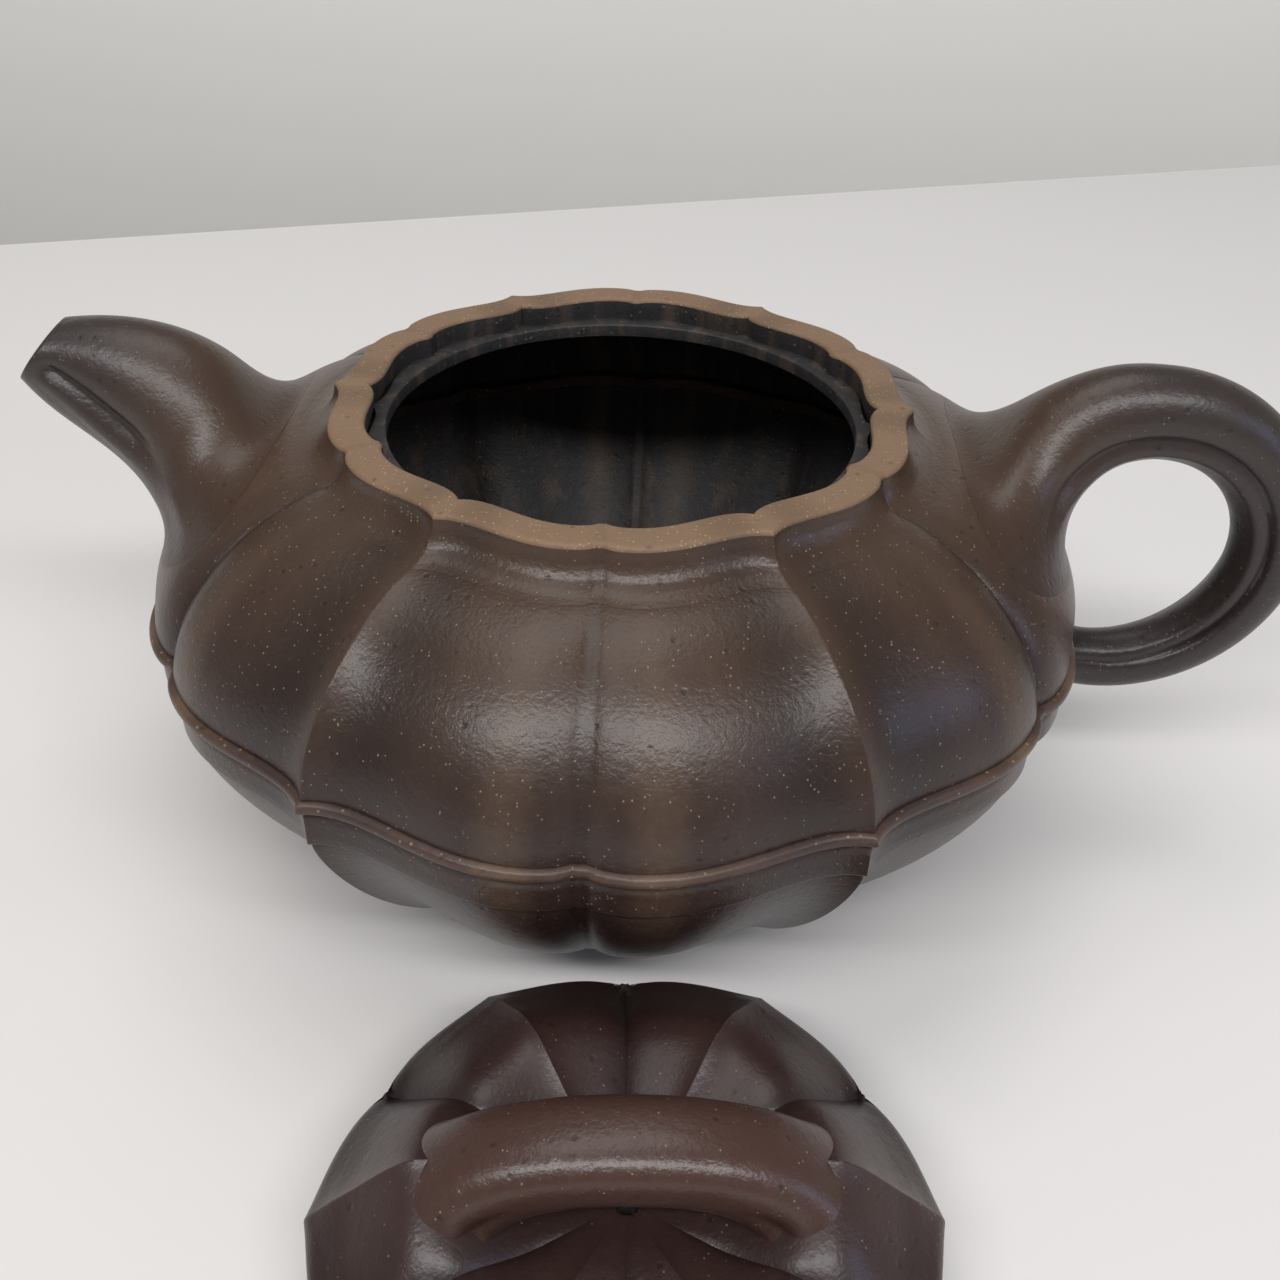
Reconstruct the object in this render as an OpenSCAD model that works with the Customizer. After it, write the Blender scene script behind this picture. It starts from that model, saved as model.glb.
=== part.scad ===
// Six-petal clay teapot with its lid laid beside it. Units are millimetres.
// The pot stands on z = 0 with its axis on the origin. The handle points along +X,
// the spout along -X, and the lid lies on the table on the -Y side.

/* [Body] */
// Mean radius of the body at the waist line
body_r = 59; // [54:0.2:71]
// Height of the mouth rim above the table
body_h = 61; // [56:0.2:74]
// Height of the top of the waist bead above the table
waist_z = 37.6; // [32:0.2:40]
// Thickness of the body wall
wall = 3; // [2.4:0.1:3.8]
// Depth of the petal relief, 1 for the full crest and groove
relief = 1; // [0.5:0.05:1.2]

/* [Waist] */
// Height of the waist bead
bead_h = 1.6; // [1.2:0.1:2.4]
// How far the waist bead stands out from the wall
bead_out = 0.8; // [0.5:0.1:1.4]
// Height of the plain band under the bead
band_h = 4.8; // [3:0.2:6]
// Step from the band down to the bowl
band_step = 0.6; // [0.3:0.1:1]

/* [Mouth] */
// Mean radius of the wall inside the mouth
mouth_r = 31.5; // [26:0.25:38]
// Width of the flat lip
lip_w = 4.1; // [3.4:0.1:5]
// Height of the ring that makes the neck and lip
neck_h = 4.7; // [4.2:0.1:6]
// Depth of the lid's seat below the lip
seat_depth = 3; // [2.2:0.1:3.6]
// Width of the ledge that the lid sits on
seat_w = 2.2; // [1.6:0.1:3]

/* [Foot] */
// Mean outer radius of the foot ring
foot_r = 35; // [29:0.5:42]
// Width of the foot ring
foot_w = 4; // [3:0.25:6]
// Height of the foot ring
foot_h = 3; // [2:0.25:4]
// Thickness of the floor disc
floor_t = 3; // [2.4:0.1:4]

/* [Spout] */
// Distance from the pot's axis to the middle of the spout's tip
spout_reach = 72.2; // [66:0.5:87]
// Height of the middle of the tip above the mouth rim
spout_rise = 2.6; // [-2:0.2:8]
// Outer radius of the spout at the tip
tip_r = 4.9; // [4.3:0.1:6]
// Radius of the pouring channel at the tip
pour_r = 3.3; // [2.6:0.1:3.6]
// Outer radius of the spout where it leaves the body
spout_root_r = 12; // [10.5:0.25:13.5]
// Radius of the hole in the body wall behind the spout
root_hole_r = 8; // [6.5:0.25:9]

/* [Strainer] */
// Thickness of the perforated dome
sieve_t = 1.5; // [1.2:0.1:2]
// Radius of each hole in the dome
sieve_hole_r = 0.8; // [0.6:0.05:0.9]

/* [Handle] */
// Radius of the loop's middle line
loop_r = 18.6; // [15.4:0.2:22.4]
// Distance of the loop's centre beyond the waist
loop_out = 6.8; // [4:0.2:10]
// Height of the loop's centre above the top of the waist bead
loop_up = 5.8; // [3:0.2:8]
// Half thickness of the handle at its top
grip_r = 5.8; // [4.8:0.1:6.8]
// Half thickness of the handle at its lower end
tail_r = 4; // [3.2:0.1:4.8]

/* [Lid] */
// Clearance between the lid's edge and the mouth
lid_gap = 0.35; // [0.2:0.05:0.6]
// Height of the upright edge of the lid
lid_edge_h = 1.6; // [1:0.1:2.4]
// Height of the lid's dome above its edge
dome_h = 5; // [4:0.2:7]
// Thickness of the dome
dome_t = 3; // [2.4:0.1:4]
// Depth of the ring under the lid
flange_h = 8; // [5:0.5:10]
// Thickness of the ring under the lid
flange_t = 2.2; // [1.8:0.1:3]
// Clearance between the ring and the bore of the lid's seat
flange_gap = 0.5; // [0.3:0.05:0.8]
// Radius of the air hole in the dome
vent_r = 1.1; // [0.8:0.1:1.5]

/* [Knob] */
// Distance between the knob's two roots
bridge_w = 35; // [29:0.5:42]
// Height of the finger gap under the knob
finger_gap = 5; // [4.4:0.1:6]
// Thickness of the strap at its middle
strap_t = 6.2; // [5:0.1:7.5]
// Width of the strap at its middle
strap_w = 8; // [6.5:0.1:10]

/* [Lid at rest] */
// Clear space between the pot and the lid over the whole lift
lid_clear = 2.47; // [2:0.01:40]
// How far the lid lies towards the handle side
lid_side = 6.5; // [-10:0.5:12]
// Turn of the lid about its own axis
lid_turn = 3.9; // [-20:0.1:20]

/* [Hidden] */
$fn = 96;

// Petals: one crest every 60 degrees, with the grooves half way between them.
petals = 6;
half_petal = 180 / petals;
// Angles across half a petal, from its groove to its crest
steps = [0, 1.5, 4.5, 9, 14, 19, 24, 28];
crest_steps = [30, 28, 24, 19, 14, 9, 4.5, 1.5];
azimuths = [for (p = [0 : petals - 1]) each concat(
    [for (u = steps) 2 * half_petal * p + u],
    [for (u = crest_steps) 2 * half_petal * (p + 1) - u])];
around = len(azimuths);

// Relief across a petal at u degrees from its groove: a round lobe, a hollow, a sharp crest.
lobe = 1.15;
hollow = 0.5;
groove = 0.9;
crest = 2.2;
function petal(u) =
    let (t = u / half_petal)
    lobe * cos(180 * (t - 0.25) / 0.63) - hollow - groove * exp(-t / 0.045)
        + crest * exp(-(1 - t) / 0.05);
function from_groove(a) = let (m = a % (2 * half_petal)) min(m, 2 * half_petal - m);
function petal_r(r, k, a) = r + k * relief * petal(from_groove(a));
// Azimuth 0 is the front, and 90 degrees is the handle's side.
function at(r, a, z) = [r * sin(a), -r * cos(a), z];
function outline(r, k) = [for (a = azimuths) let (q = at(petal_r(r, k, a), a, 0)) [q.x, q.y]];

// Heights
bead_bottom = waist_z - bead_h;
band_bottom = bead_bottom - band_h;
neck_z = body_h - neck_h;
seat_z = body_h - seat_depth;
floor_z = foot_h + floor_t;

// Radii
lip_r = mouth_r + lip_w;
neck_r = lip_r + 4.4;
seat_r = mouth_r - seat_w;
bowl_r = body_r - band_step;
bowl_foot_r = foot_r + 1.6;
floor_r = foot_r - 2;

// How strongly the petals show at the waist, at the lip and at the foot
waist_k = 1;
lip_k = 0.6;
foot_k = 0.6;
bowl_k = 1.2;

// A convex quarter curve from its widest point at s = 0 to its top at s = 1
function bulge(s, p) = pow(1 - pow(s, p), 1 / p);
shoulder_p = 1.7;
bowl_p = 1.3;
shoulder_top_r = neck_r - 1.9;
shoulder_top = body_h - 4.5;
function shoulder(z) =
    shoulder_top_r + (body_r - shoulder_top_r) * bulge((z - waist_z) / (shoulder_top - waist_z), shoulder_p);
function bowl(z) =
    bowl_foot_r + (bowl_r - bowl_foot_r) * bulge((band_bottom - z) / (band_bottom - foot_h), bowl_p);

// Each profile is a list of [radius, height, petal strength], from the bottom up.
shoulder_cuts = [0, 0.14, 0.3, 0.46, 0.6, 0.73, 0.84, 0.93];
shoulder_rings = concat(
    [for (c = shoulder_cuts) let (z = waist_z + c * (neck_z - waist_z))
        [shoulder(z), z, waist_k - 0.25 * pow(c, 3)]],
    [[neck_r, neck_z, 0.7]]);
bowl_cuts = [0, 0.1, 0.22, 0.36, 0.5, 0.65, 0.8, 0.92];
bowl_rings = concat(
    [for (c = bowl_cuts) let (z = foot_h + c * (band_bottom - foot_h))
        [bowl(z), z, foot_k + (bowl_k - foot_k) * sin(90 * min(1, c * 1.6))]],
    [[bowl_r, band_bottom, waist_k]]);
band_rings = [[body_r, band_bottom, waist_k], [body_r, bead_bottom, waist_k]];
bead_rings = [
    [body_r + bead_out * 0.6, bead_bottom, waist_k],
    [body_r + bead_out, bead_bottom + bead_h * 0.3, waist_k],
    [body_r + bead_out, bead_bottom + bead_h * 0.65, waist_k],
    [body_r + bead_out * 0.4, waist_z, waist_k]
];
neck_rings = [
    [neck_r, neck_z, 0.7],
    [lip_r + 2.5, neck_z + neck_h * 0.13, 0.66],
    [lip_r + 1.1, neck_z + neck_h * 0.36, 0.62],
    [lip_r + 0.3, neck_z + neck_h * 0.66, lip_k],
    [lip_r, neck_z + neck_h * 0.93, lip_k],
    [lip_r - 0.3, body_h, lip_k]
];

// Inner faces follow the outer ones at the wall's thickness, with softer petals.
inner_k = 0.8;
function inside(rings, t) = [for (q = rings) [q[0] - t, q[1], q[2] * inner_k]];
function upside_down(rings) = [for (i = [len(rings) - 1 : -1 : 0]) rings[i]];

// Points of a list of rings, and the faces between one ring and the next
function ring_points(rings) = [for (q = rings) for (a = azimuths) at(petal_r(q[0], q[2], a), a, q[1])];
function band_faces(i, j, n) = [for (k = [0 : n - 1]) let (m = (k + 1) % n) each
    [[i * n + k, j * n + m, i * n + m], [i * n + k, j * n + k, j * n + m]]];

// A closed ring whose cross-section is a loop of profile points
module petal_ring(loop) {
    n = len(loop);
    polyhedron(
        ring_points(loop),
        [for (i = [0 : n - 1]) each band_faces(i, (i + 1) % n, around)],
        convexity = 8);
}

// A solid stack of rings, closed by a flat face at each end
module petal_solid(rings) {
    n = len(rings);
    polyhedron(
        ring_points(rings),
        concat(
            [[for (k = [0 : around - 1]) k]],
            [for (i = [0 : n - 2]) each band_faces(i, i + 1, around)],
            [[for (k = [around - 1 : -1 : 0]) (n - 1) * around + k]]),
        convexity = 8);
}

// Everything inside the outer face of the body, which the spout and handle are cut to fit
module body_mass() {
    petal_solid(concat(bowl_rings, band_rings, bead_rings, shoulder_rings, [[lip_r, body_h, lip_k]]));
}

// A tube along a path in the XZ plane. Each station is [x, z, slope, half height, half width].
tube_sides = 20;
function tube_ring(s) = [for (k = [0 : tube_sides - 1]) let (b = 360 * k / tube_sides, h = s[3] * cos(b))
    [s[0] - h * sin(s[2]), s[4] * sin(b), s[1] + h * cos(s[2])]];
module tube(stations) {
    n = len(stations);
    polyhedron(
        [for (s = stations) each tube_ring(s)],
        concat(
            [[for (k = [tube_sides - 1 : -1 : 0]) k]],
            [for (i = [0 : n - 2]) each [for (k = [0 : tube_sides - 1]) let (m = (k + 1) % tube_sides) each
                [[i * tube_sides + k, i * tube_sides + m, (i + 1) * tube_sides + m],
                 [i * tube_sides + k, (i + 1) * tube_sides + m, (i + 1) * tube_sides + k]]]],
            [[for (k = [0 : tube_sides - 1]) (n - 1) * tube_sides + k]]),
        convexity = 8);
}

// Foot, floor and body
module foot_ring() {
    color([0.17, 0.12, 0.1])
    difference() {
        linear_extrude(foot_h) polygon(outline(foot_r, foot_k));
        translate([0, 0, -1]) cylinder(r = foot_r - foot_w, h = foot_h + 2);
    }
}

module floor_disc() {
    color([0.16, 0.12, 0.1])
    translate([0, 0, foot_h]) linear_extrude(floor_t) polygon(outline(floor_r, 0));
}

module lower_shell() {
    floor_loop = [[floor_r, floor_z, 0], [floor_r, foot_h, 0]];
    inner_bowl = [for (q = inside(bowl_rings, wall)) if (q[1] > floor_z + 1) q];
    inner_band = [[body_r - wall, bead_bottom, waist_k * inner_k]];
    color([0.2, 0.14, 0.12])
    petal_ring(concat(bowl_rings, band_rings, upside_down(concat(inner_bowl, inner_band)), floor_loop));
}

module waist_bead() {
    inner = [[body_r - wall, waist_z, waist_k * inner_k], [body_r - wall, bead_bottom, waist_k * inner_k]];
    color([0.24, 0.17, 0.14])
    petal_ring(concat(bead_rings, inner));
}

module upper_shell() {
    color([0.22, 0.16, 0.13])
    difference() {
        petal_ring(concat(shoulder_rings, upside_down(inside(shoulder_rings, wall))));
        spout_root_axis() translate([0, 0, -12]) cylinder(r = root_hole_r, h = 20);
    }
}

// Neck, lip and the ledge that carries the lid
module mouth_ring() {
    color([0.4, 0.3, 0.23])
    petal_ring(concat(neck_rings, [[mouth_r, body_h, lip_k], [mouth_r, neck_z, lip_k]]));
}

module lid_seat() {
    color([0.3, 0.22, 0.17])
    translate([0, 0, neck_z])
    difference() {
        linear_extrude(seat_z - neck_z) polygon(outline(mouth_r, lip_k));
        translate([0, 0, -1]) cylinder(r = seat_r, h = seat_z - neck_z + 2);
    }
}

// Spout. Its middle line is a cubic curve from inside the shoulder to the tip.
spout_root = [-(body_r - 14), waist_z + 5.6];
spout_lean = [-(body_r - 4), waist_z + 15.6];
spout_tip = [-spout_reach, body_h + spout_rise];
tip_slope = 15.5;
spout_neck = spout_tip + 11.6 * [cos(tip_slope), -sin(tip_slope)];
tip_slant = 24;
function mix4(a, b, c, d, t) =
    pow(1 - t, 3) * a + 3 * pow(1 - t, 2) * t * b + 3 * (1 - t) * t * t * c + t * t * t * d;
function spout_at(t) = mix4(spout_root, spout_lean, spout_neck, spout_tip, t);
function spout_dir(t) = let (d = spout_at(min(1, t + 0.01)) - spout_at(max(0, t - 0.01))) atan2(d[1], d[0]);
function spout_radius(t) = tip_r + (spout_root_r - tip_r) * pow(1 - t, 1.15);
function spout_half_w(t) = spout_radius(t) + 6 * pow(1 - t, 2.4);
function channel_radius(t) = pour_r + (root_hole_r - pour_r) * pow(1 - t, 1.3);
spout_steps = 14;
function spout_slope(t) = spout_dir(t) - tip_slant * pow(t, 5);

module spout_root_axis() {
    mouth = spout_at(0.25);
    lean = spout_lean - spout_root;
    translate([mouth[0], 0, mouth[1]]) rotate([0, atan2(lean[0], lean[1]), 0]) children();
}

module spout() {
    outer = [for (i = [0 : spout_steps]) let (t = i / spout_steps, p = spout_at(t))
        [p[0], p[1], spout_slope(t), spout_radius(t), spout_half_w(t)]];
    channel = [for (i = [0 : spout_steps - 3]) let (t = i / spout_steps, p = spout_at(t))
        [p[0], p[1], spout_dir(t), channel_radius(t), channel_radius(t)]];
    color([0.13, 0.11, 0.11])
    difference() {
        tube(outer);
        body_mass();
        tube(channel);
        translate([spout_tip[0], 0, spout_tip[1]]) rotate([0, tip_slope - 90, 0])
            translate([0, 0, -10.6]) cylinder(r = pour_r, h = 16);
    }
}

// Strainer: a collar in the wall's hole that carries a perforated dome, bulging into the pot.
// The body's outer face trims the collar, so it ends flush with the wall and meets the spout's root.
sieve_cuts = [0, 18, 36, 54, 72];
module sieve_profile(r, top) {
    polygon(concat(
        [[0, top], [r, top]],
        [for (b = sieve_cuts) [r * cos(b), -2 - r * 0.62 * sin(b)]],
        [[0, -2 - r * 0.62 * sin(72)]]));
}

module strainer() {
    color([0.2, 0.15, 0.12])
    intersection() {
        body_mass();
        spout_root_axis()
        translate([0, 0, -1.2])
        difference() {
            rotate_extrude() sieve_profile(root_hole_r, 9);
            rotate_extrude() sieve_profile(root_hole_r - sieve_t, 10);
            for (ring = [[1.5, 3], [4.3, 9]])
                for (i = [0 : ring[1] - 1])
                    rotate(360 * i / ring[1])
                        translate([ring[0], 0, -12]) cylinder(r = sieve_hole_r, h = 14, $fn = 24);
        }
    }
}

// Handle: a round loop that leaves the shoulder and comes back under the waist band
loop_x = body_r + loop_out;
loop_z = waist_z + loop_up;
root_angle = 158;
tail_angle = -96;
loop_steps = 30;
function grip(a) = a > 90
    ? grip_r + (a - 90) * 0.045 + pow(max(0, a - 120) / 38, 2) * 2
    : tail_r + (grip_r - tail_r) * (a - tail_angle) / (90 - tail_angle);
function grip_w(a) = grip(a) * 0.95 + pow(max(0, a - 105) / 53, 2) * 7;

module handle() {
    stations = concat(
        [for (i = [0 : loop_steps]) let (a = root_angle + (tail_angle - root_angle) * i / loop_steps)
            [loop_x + loop_r * cos(a), loop_z + loop_r * sin(a), a - 90, grip(a), grip_w(a)]],
        [[loop_x - 17, loop_z - loop_r + 0.8, tail_angle - 92, tail_r + 0.4, tail_r + 0.8]]);
    color([0.14, 0.12, 0.12])
    difference() {
        tube(stations);
        body_mass();
    }
}

// Lid. It is drawn about its own axis with its ring standing on z = 0, then laid in its place.
lid_r = mouth_r - lid_gap;
flange_r = seat_r - flange_gap;
// The lid is lifted up and away from the pot, and clears the pot's widest reach on the way.
lift_out = 0.6;
lift_up = 0.8;
lift_travel = 120;
function pot_reach(z) = z < band_bottom ? bowl(z) : z < waist_z ? body_r + bead_out : 0;
lid_reach = max([for (d = [0 : 0.5 : lift_travel]) pot_reach(flange_h + lid_edge_h + lift_up * d) - lift_out * d]);
lid_y = -(lid_reach + lid_clear + lid_r);
lid_top = flange_h + lid_edge_h + dome_h;
dome_p = 2.1;
dome_cuts = [0.12, 0.25, 0.4, 0.55, 0.7, 0.84, 0.94];
dome_rings = concat(
    [[lid_r - 0.5, flange_h, lip_k], [lid_r, flange_h + 0.5, lip_k], [lid_r, flange_h + lid_edge_h, lip_k]],
    [for (c = upside_down(dome_cuts)) [lid_r * c, flange_h + lid_edge_h + dome_h * bulge(c, dome_p), lip_k * sqrt(c) * 1.4]],
    [[2.5, lid_top, 0]]);

module lid_place() {
    translate([lid_side, lid_y, 0]) rotate(lid_turn) children();
}

module lid_dome() {
    hollow_r = flange_r - flange_t;
    roof = lid_top - dome_t;
    hollow_rings = concat(
        [for (c = [[1, 0], [0.8, 0.5], [0.55, 0.82], [0.25, 1]])
            [hollow_r * c[0], flange_h + (roof - flange_h) * c[1], 0]],
        [[vent_r, roof, 0]]);
    color([0.2, 0.13, 0.12])
    lid_place()
    petal_ring(concat(dome_rings, [[vent_r, lid_top, 0]], upside_down(hollow_rings)));
}

module lid_flange() {
    color([0.2, 0.14, 0.12])
    lid_place()
    rotate_extrude() polygon([
        [flange_r - flange_t, flange_h], [flange_r, flange_h], [flange_r, 0.6],
        [flange_r - 0.6, 0], [flange_r - flange_t + 0.6, 0], [flange_r - flange_t, 0.6]]);
}

// Knob: a strap that bridges the dome from one side crest to the other
strap_steps = 18;
function strap_angle(i) = 172 - 164 * i / strap_steps;
module bridge_knob() {
    half_w = bridge_w / 2;
    crown_z = lid_top + finger_gap + strap_t / 2;
    rise = crown_z - flange_h - lid_edge_h;
    stations = [for (i = [0 : strap_steps]) let (
            a = strap_angle(i),
            c = abs(cos(a)),
            x = half_w * (cos(a) > 0 ? 1 : -1) * pow(c, 0.85),
            z = crown_z - rise * (1 - pow(sin(a), 0.5)))
        [x, z, (a - 90) * 0.8, strap_t / 2 + 1.6 * pow(c, 3), strap_w / 2 + 2.4 * pow(c, 4)]];
    color([0.22, 0.15, 0.13])
    lid_place()
    difference() {
        tube(stations);
        petal_solid(concat([[lid_r - 0.5, -5, lip_k]], dome_rings));
    }
}

foot_ring();
floor_disc();
lower_shell();
waist_bead();
upper_shell();
mouth_ring();
lid_seat();
spout();
strainer();
handle();
lid_dome();
lid_flange();
bridge_knob();
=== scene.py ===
"""Looks of a petal-lobed clay teapot: its skins, finishes, light and camera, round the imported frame."""

import logging
import math
from collections.abc import Callable
from dataclasses import dataclass, field
from enum import Enum

import bmesh
import bpy
import numpy as np
from mathutils import Matrix, Vector


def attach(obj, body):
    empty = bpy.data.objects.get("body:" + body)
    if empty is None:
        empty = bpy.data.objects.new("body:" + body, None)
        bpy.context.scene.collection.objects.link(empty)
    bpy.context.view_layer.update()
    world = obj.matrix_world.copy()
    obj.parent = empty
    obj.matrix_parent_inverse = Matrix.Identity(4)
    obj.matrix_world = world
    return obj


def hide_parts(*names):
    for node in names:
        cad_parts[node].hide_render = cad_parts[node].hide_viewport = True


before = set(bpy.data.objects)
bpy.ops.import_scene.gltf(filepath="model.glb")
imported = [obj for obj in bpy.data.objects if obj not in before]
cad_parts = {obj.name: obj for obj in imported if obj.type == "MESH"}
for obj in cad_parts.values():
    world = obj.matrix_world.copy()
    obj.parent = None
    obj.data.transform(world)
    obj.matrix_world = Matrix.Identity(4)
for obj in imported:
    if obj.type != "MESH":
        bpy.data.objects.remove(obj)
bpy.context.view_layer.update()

LOG = logging.getLogger("teapot")
MM = 0.001
SAME_PLACE = 1e-4  # vertices this close, in millimetres, are one
SHARP_ANGLE = 60  # edges that turn by more degrees stay sharp
CORNER_P = 1.7  # roundness of the shoulder's curve: 2 is an ellipse, 1 a straight slope
BOWL_P = 1.3  # roundness of the bowl's curve
ROOT_DEPTHS = (2.6, 0.8)  # how deep the rings behind a root's edge lie in the wall
CREASE_PAINTED_SHADE = -6  # painted shade in a crease, for each share of its depth


class Body(Enum):
    """The bodies of the frame that pieces ride on."""

    POT = "pot"
    LID = "lid"


class Slot(Enum):
    """The record's material slots."""

    BODY = "clay_body"
    BEAD = "clay_bead"
    LIP = "clay_lip"
    INSIDE = "clay_inside"
    POLISHED = "clay_polished"
    LID = "clay_lid"
    KNOB = "clay_knob"
    FOOT = "clay_foot"


# ---------------------------------------------------------------- shapes


def smooth(x: np.ndarray, low: float, high: float) -> np.ndarray:
    """An S-shaped step.

    Args:
        x: Values to step.
        low: Where the step starts, at 0.
        high: Where it ends, at 1; it may be under low, for a falling step.

    Returns:
        The step's values, from 0 to 1.
    """
    t = np.clip((np.asarray(x, float) - low) / (high - low), 0.0, 1.0)
    return t * t * (3 - 2 * t)


def bulge(s: np.ndarray, power: float) -> np.ndarray:
    """A convex quarter curve, 1 at s = 0 and 0 at s = 1."""
    return (1 - np.clip(s, 0, 1) ** power) ** (1 / power)


def resample(points: np.ndarray, count: int) -> np.ndarray:
    """Spaces a polyline's points evenly.

    Args:
        points: Rows of numbers whose first two are the place.
        count: Number of rows wanted.

    Returns:
        The rows at even steps of length.
    """
    points = np.asarray(points, float)
    steps = np.hypot(*np.diff(points[:, :2], axis=0).T)
    length = np.concatenate([[0], np.cumsum(steps)])
    wanted = np.linspace(0, length[-1], count)
    return np.stack([np.interp(wanted, length, column) for column in points.T], axis=1)


@dataclass(frozen=True)
class Petals:
    """The six petals that run over the whole pot: depths in millimetres, widths as shares of half a petal."""

    count: int = 6
    relief: float = 1.0
    lobe: float = 1.15
    lobe_at: float = 0.25
    lobe_span: float = 0.63
    hollow: float = 0.5
    groove: float = 1.25
    groove_width: float = 0.045
    crest: float = 2.0
    crest_width: float = 0.09
    line: float = 0.7
    line_width: float = 0.012
    fold_crest: float = 2.1
    fold_crest_width: float = 0.26
    fold_groove: float = 1.0
    fold_groove_width: float = 0.14
    fold_belly: float = 0.4
    fold_drop: float = 1.35
    steps_per_half: int = 34

    @property
    def half(self) -> float:
        """Angle from a groove to a crest."""
        return 180 / self.count

    def from_groove(self, azimuth: np.ndarray) -> np.ndarray:
        """Angle of each azimuth from its nearest groove."""
        turn = np.mod(azimuth, 2 * self.half)
        return np.minimum(turn, 2 * self.half - turn)

    def swell(self, t: np.ndarray) -> np.ndarray:
        """The round part of a lobe at each share of half a petal."""
        return self.lobe * np.cos(np.pi * (t - self.lobe_at) / self.lobe_span) - self.hollow

    def wave(self, azimuth: np.ndarray) -> np.ndarray:
        """The relief round the pot: a round lobe, a hollow and a sharp crest in each half petal."""
        t = self.from_groove(azimuth) / self.half
        line = self.line * np.exp(-((t / self.line_width) ** 2))
        groove = self.groove * np.exp(-t / self.groove_width)
        return self.swell(t) + line - groove + self.crest * np.exp(-(1 - t) / self.crest_width)

    def fold(self, azimuth: np.ndarray) -> np.ndarray:
        """The softer relief of the lid: folds that meet in low crests between shallow grooves."""
        t = self.from_groove(azimuth) / self.half
        crest = self.fold_crest * np.exp(-(1 - t) / self.fold_crest_width)
        groove = self.fold_groove * np.exp(-t / self.fold_groove_width)
        return crest - groove + self.fold_belly * np.sin(np.pi * t) - self.fold_drop

    def plain(self, azimuth: np.ndarray) -> np.ndarray:
        """The relief of a petal that carries a spout or handle: no hollow and no crest."""
        t = self.from_groove(azimuth) / self.half
        return self.swell(np.minimum(t, self.lobe_at)) - self.groove * np.exp(-t / self.groove_width)

    def azimuths(self) -> np.ndarray:
        """Azimuths that gather at every groove and crest, one petal's the same as the next's."""
        s = np.linspace(0, 1, self.steps_per_half + 1)
        eased = self.half * (0.3 * s + 0.7 * (0.5 - 0.5 * np.cos(np.pi * s)))
        petal = np.concatenate([eased, 2 * self.half - eased[-2:0:-1]])
        return np.concatenate([petal + 2 * self.half * i for i in range(self.count)])


PETALS = Petals()


def azimuth_of(p: np.ndarray) -> np.ndarray:
    """Azimuth of points: 0 at the front groove and 90 on the handle's side."""
    return np.mod(np.degrees(np.arctan2(p[:, 0], -p[:, 1])), 360)


def side_petal(azimuth: np.ndarray) -> np.ndarray:
    """1 within the two petals that carry the spout and the handle, and 0 in the rest."""
    off = np.abs(np.abs(np.mod(azimuth + 180, 360) - 180) - 90)
    return (off < PETALS.half + 1e-6).astype(float)


def coords(bm: bmesh.types.BMesh) -> np.ndarray:
    """The places of a mesh's vertices, one row each."""
    return np.array([v.co for v in bm.verts], float).reshape(-1, 3)


def put(bm: bmesh.types.BMesh, places: np.ndarray, tone: np.ndarray | None = None) -> None:
    """Moves a mesh's vertices.

    Args:
        bm: The mesh.
        places: One row for each vertex.
        tone: Tone of each vertex: over 0 on raised edges, for wear, and under 0 in grooves and creases, for painted
            shade.
    """
    layer = bm.verts.layers.float.get("tone") or bm.verts.layers.float.new("tone")
    for i, v in enumerate(bm.verts):
        v.co = places[i]
        if tone is not None:
            v[layer] = float(tone[i])


def spun(profile: np.ndarray, steps: int) -> bmesh.types.BMesh:
    """Turns a closed profile about the pot's axis.

    Args:
        profile: Rows of radius and height.
        steps: Number of steps round.

    Returns:
        The turned mesh.
    """
    bm = bmesh.new()
    verts = [bm.verts.new((0, -row[0], row[1])) for row in profile]
    edges = [bm.edges.new(pair) for pair in zip(verts, verts[1:] + verts[:1])]
    bmesh.ops.spin(
        bm, geom=verts + edges, cent=(0, 0, 0), axis=(0, 0, 1), angle=2 * math.pi,
        steps=steps, use_merge=True, use_duplicate=False)
    bmesh.ops.remove_doubles(bm, verts=bm.verts, dist=SAME_PLACE)
    return bm


@dataclass
class Lobed:
    """A turned shell whose radius follows the petals."""

    profile: np.ndarray
    azimuths: np.ndarray = field(default_factory=PETALS.azimuths)

    def build(self, shape: Callable[[np.ndarray, np.ndarray], np.ndarray] | None = None) -> bmesh.types.BMesh:
        """Turns the profile and gives it its petals.

        Args:
            shape: Gives the relief from azimuth and height; without it, it is the petals' own wave.

        Returns:
            The lobed mesh.
        """
        bm = spun(self.profile, len(self.azimuths))
        flat = coords(bm)
        radius = np.hypot(flat[:, 0], flat[:, 1])
        gap = np.hypot(radius[:, None] - self.profile[None, :, 0], flat[:, 2:3] - self.profile[None, :, 1])
        near = gap.argmin(axis=1)
        step = np.rint(azimuth_of(flat) / 360 * len(self.azimuths)).astype(int) % len(self.azimuths)
        azimuth = self.azimuths[step]
        wave = PETALS.wave(azimuth) if shape is None else shape(azimuth, flat[:, 2])
        strength = self.profile[near, 2]
        out = self.profile[near, 0] + PETALS.relief * strength * wave
        turn = np.radians(azimuth)
        places = np.stack([out * np.sin(turn), -out * np.cos(turn), self.profile[near, 1]], axis=1)
        # The tone is the relief: over 0 on lobes and crests, which wear, and under 0 in grooves, which get painted
        # shade.
        put(bm, places, wave * np.minimum(strength, 1))
        return bm


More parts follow.
